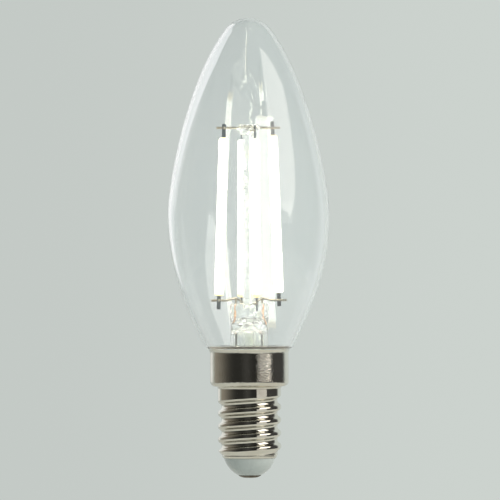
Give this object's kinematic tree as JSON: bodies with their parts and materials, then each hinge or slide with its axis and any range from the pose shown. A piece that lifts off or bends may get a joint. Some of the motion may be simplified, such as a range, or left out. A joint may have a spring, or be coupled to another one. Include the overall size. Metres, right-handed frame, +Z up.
{
  "type": "candle bulb",
  "caption": "Clear candle-shaped filament bulb on a small screw cap with a wide skirt, lit by upright glowing bars round a glass post.",
  "frame": {"origin": "centre of the flat face of the centre contact, at the bottom on the axis", "axes": "+Z up the bulb's axis to the glass tip, +X to the right and +Y away from the viewer in the picture"},
  "size_m": [0.035, 0.035, 0.0994],
  "materials": {
    "clear_glass": "clear, blown",
    "stem_glass": "clear, fire-polished",
    "plated_shell": "nickel plate, drawn",
    "insulator": "pale, glossy",
    "contact_metal": "dull",
    "seal_wire": "copper-coloured, in glass",
    "nickel_wire": "drawn wire",
    "lead_wire": "dark drawn wire",
    "tinned_wire": "tinned",
    "tab_steel": "flat strip",
    "phosphor": "glowing",
    "cement": "dry",
    "board": "laminate",
    "component_black": "moulded",
    "capacitor_sleeve": "shrunk sleeve",
    "fuse_body": "lacquered"
  },
  "bodies": {
    "root": {"bridge_rectifier": "component_black", "bridge_wire_left": "nickel_wire", "bridge_wire_right": "nickel_wire", "cap_cement": "cement", "cap_insulator": "insulator", "cap_shell": "plated_shell", "capacitor_lead_negative": "tinned_wire", "capacitor_lead_positive": "tinned_wire", "centre_contact": "contact_metal", "centre_post": "stem_glass", "driver_board": "board", "driver_chip": "component_black", "exhaust_tube": "stem_glass", "feed_wire": "tinned_wire", "filament_back": "phosphor", "filament_back_bottom_tab": "tab_steel", "filament_back_top_tab": "tab_steel", "filament_front": "phosphor", "filament_front_bottom_tab": "tab_steel", "filament_front_top_tab": "tab_steel", "filament_left": "phosphor", "filament_left_bottom_tab": "tab_steel", "filament_left_top_tab": "tab_steel", "filament_right": "phosphor", "filament_right_bottom_tab": "tab_steel", "filament_right_top_tab": "tab_steel", "fuse": "fuse_body", "glass_envelope": "clear_glass", "glass_stem": "stem_glass", "inner_lead_left": "nickel_wire", "inner_lead_right": "nickel_wire", "lead_seal_left": "seal_wire", "lead_seal_right": "seal_wire", "live_wire": "tinned_wire", "neutral_wire": "tinned_wire", "outer_lead_left": "lead_wire", "outer_lead_right": "lead_wire", "sense_resistor": "component_black", "smoothing_capacitor": "capacitor_sleeve", "top_wire_lower": "nickel_wire", "top_wire_upper": "nickel_wire"}
  },
  "joints": []
}
